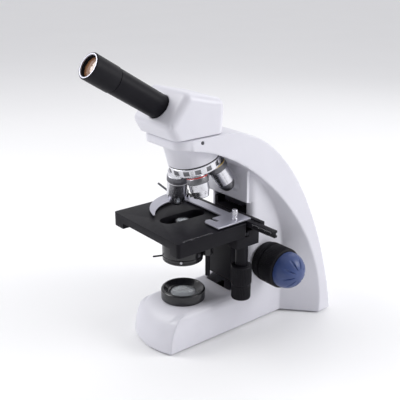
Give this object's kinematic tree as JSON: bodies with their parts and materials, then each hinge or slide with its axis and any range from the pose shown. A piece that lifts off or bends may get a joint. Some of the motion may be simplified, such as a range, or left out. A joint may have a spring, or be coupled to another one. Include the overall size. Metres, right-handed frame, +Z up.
{
  "type": "microscope",
  "caption": "Upright monocular laboratory microscope with a white arched stand, black mechanical stage, revolving nosepiece and coaxial focus knobs.",
  "frame": {"origin": "on the optical axis, at the bench under the rubber feet", "axes": "+Z up; -Y towards the user, where the viewing tube points; +X the user's right-hand side"},
  "size_m": [0.205, 0.3114, 0.3576],
  "materials": {
    "stand_white": "satin enamel",
    "black_metal": "satin black",
    "black_plastic": "fine texture",
    "gloss_black": "glossy",
    "blue_plastic": "satin",
    "chrome": "polished",
    "holder_silver": "anodised satin",
    "steel": "turned",
    "dark_steel": "burnished",
    "brass": "machined",
    "optical_glass": "polished",
    "eye_glass": "coated",
    "rubber": "moulded",
    "lamp_yellow": "moulded",
    "board_green": "laminate",
    "base_grey": "sheet"
  },
  "bodies": {
    "stand": {"stand_base": "stand_white", "stand_arch": "stand_white", "nose_cover": "stand_white", "base_plate": "base_grey", "rubber_feet": "rubber", "base_screws": "dark_steel", "collector_ring": "gloss_black", "collector_lens": "optical_glass", "lamp_holder": "steel", "led_lamp": "lamp_yellow", "driver_board": "board_green", "power_inlet": "black_plastic", "set_screws": "dark_steel", "nosepiece_mount": "stand_white", "focus_guide": "black_metal", "shaft_bushes": "brass", "nosepiece_axle": "steel"},
    "switch": {"power_switch": "black_plastic"},
    "dial": {"brightness_dial": "black_plastic"},
    "tension": {"tension_ring": "black_plastic"},
    "coarse": {"coarse_shaft": "steel", "coarse_knob_right": "black_plastic", "coarse_knob_left": "black_plastic"},
    "fine": {"fine_shaft": "steel", "fine_knob_right": "blue_plastic", "fine_knob_left": "blue_plastic"},
    "carriage": {"focus_slide": "black_metal", "drive_racks": "brass", "lower_stage_plate": "black_metal"},
    "condenser": {"condenser_body": "gloss_black", "condenser_lens": "optical_glass", "condenser_holder": "gloss_black", "condenser_screw": "steel"},
    "iris": {"iris_lever": "gloss_black"},
    "stage": {"stage_plate": "black_metal", "gear_housing": "black_metal", "x_guide": "black_metal"},
    "y_drive": {"y_knob": "black_plastic", "y_drive_shaft": "dark_steel"},
    "x_drive": {"x_knob": "black_plastic", "x_drive_shaft": "dark_steel"},
    "x_carriage": {"x_bar": "black_metal", "slide_holder": "holder_silver", "holder_screw": "chrome", "finger_pivot": "black_metal"},
    "finger": {"spring_finger": "holder_silver", "finger_lever": "dark_steel"},
    "nosepiece": {"turret": "chrome", "objective_100x": "chrome", "objective_4x": "chrome", "objective_10x": "chrome", "objective_40x": "chrome", "objective_lenses": "optical_glass"},
    "head": {"head_shell": "stand_white", "head_flange": "black_metal", "prism": "optical_glass", "viewing_tube": "black_metal"},
    "eyepiece": {"eyepiece_body": "black_plastic", "eyepiece_ring": "holder_silver", "eyepiece_lenses": "eye_glass"}
  },
  "joints": [
    {"name": "focus_travel", "type": "slide", "parent": "stand", "child": "carriage", "axis": [0, 0, 1], "range_m": [-0.017, 0.003]},
    {"name": "coarse_turn", "type": "hinge", "parent": "stand", "child": "coarse", "pos_m": [0, 0.1, 0.085], "axis": [1, 0, 0], "range_deg": [-22, 122]},
    {"name": "fine_turn", "type": "hinge", "parent": "coarse", "child": "fine", "pos_m": [0, 0.1, 0.085], "axis": [1, 0, 0], "continuous": true},
    {"name": "tension_turn", "type": "hinge", "parent": "stand", "child": "tension", "pos_m": [0, 0.1, 0.085], "axis": [1, 0, 0], "range_deg": [-40, 40]},
    {"name": "stage_y", "type": "slide", "parent": "carriage", "child": "stage", "axis": [0, 1, 0], "range_m": [-0.021, 0.004]},
    {"name": "y_knob_turn", "type": "hinge", "parent": "stage", "child": "y_drive", "pos_m": [0.056, 0.0455, 0.088], "axis": [0, 0, 1], "range_deg": [-151, 29]},
    {"name": "stage_x", "type": "slide", "parent": "stage", "child": "x_carriage", "axis": [1, 0, 0], "range_m": [-0.025, 0.025]},
    {"name": "x_knob_turn", "type": "hinge", "parent": "stage", "child": "x_drive", "pos_m": [0.056, 0.0455, 0.066], "axis": [0, 0, 1], "range_deg": [-359, 359]},
    {"name": "finger_swing", "type": "hinge", "parent": "x_carriage", "child": "finger", "pos_m": [-0.045, 0.04, 0.158], "axis": [0, 0, 1], "range_deg": [-30, 0], "stiffness_Nm_per_rad": 0.02, "springref_deg": 17.19},
    {"name": "condenser_travel", "type": "slide", "parent": "carriage", "child": "condenser", "axis": [0, 0, 1], "range_m": [-0.02, 0]},
    {"name": "iris_turn", "type": "hinge", "parent": "condenser", "child": "iris", "pos_m": [0, 0, 0.1025], "axis": [0, 0, 1], "range_deg": [-35, 35]},
    {"name": "nosepiece_turn", "type": "hinge", "parent": "stand", "child": "nosepiece", "pos_m": [0, 0, 0.2869], "axis": [0, 0.2756, -0.9613], "continuous": true},
    {"name": "head_turn", "type": "hinge", "parent": "stand", "child": "head", "pos_m": [0, 0, 0.2593], "axis": [0, 0, 1], "continuous": true},
    {"name": "eyepiece_turn", "type": "hinge", "parent": "head", "child": "eyepiece", "pos_m": [0, 0, 0.2727], "axis": [0, -0.848, 0.5299], "continuous": true},
    {"name": "switch_rock", "type": "hinge", "parent": "stand", "child": "switch", "pos_m": [-0.0365, 0.089, 0.0215], "axis": [0, 0, 1], "range_deg": [-6, 6]},
    {"name": "dial_turn", "type": "hinge", "parent": "stand", "child": "dial", "pos_m": [-0.0385, 0.058, 0.024], "axis": [1, 0, 0], "range_deg": [-135, 135]}
  ],
  "couplings": [
    {"joint": "coarse_turn", "follows": "focus_travel", "rad_per_m": -125},
    {"joint": "y_knob_turn", "follows": "stage_y", "rad_per_m": 125},
    {"joint": "x_knob_turn", "follows": "stage_x", "rad_per_m": -250}
  ]
}
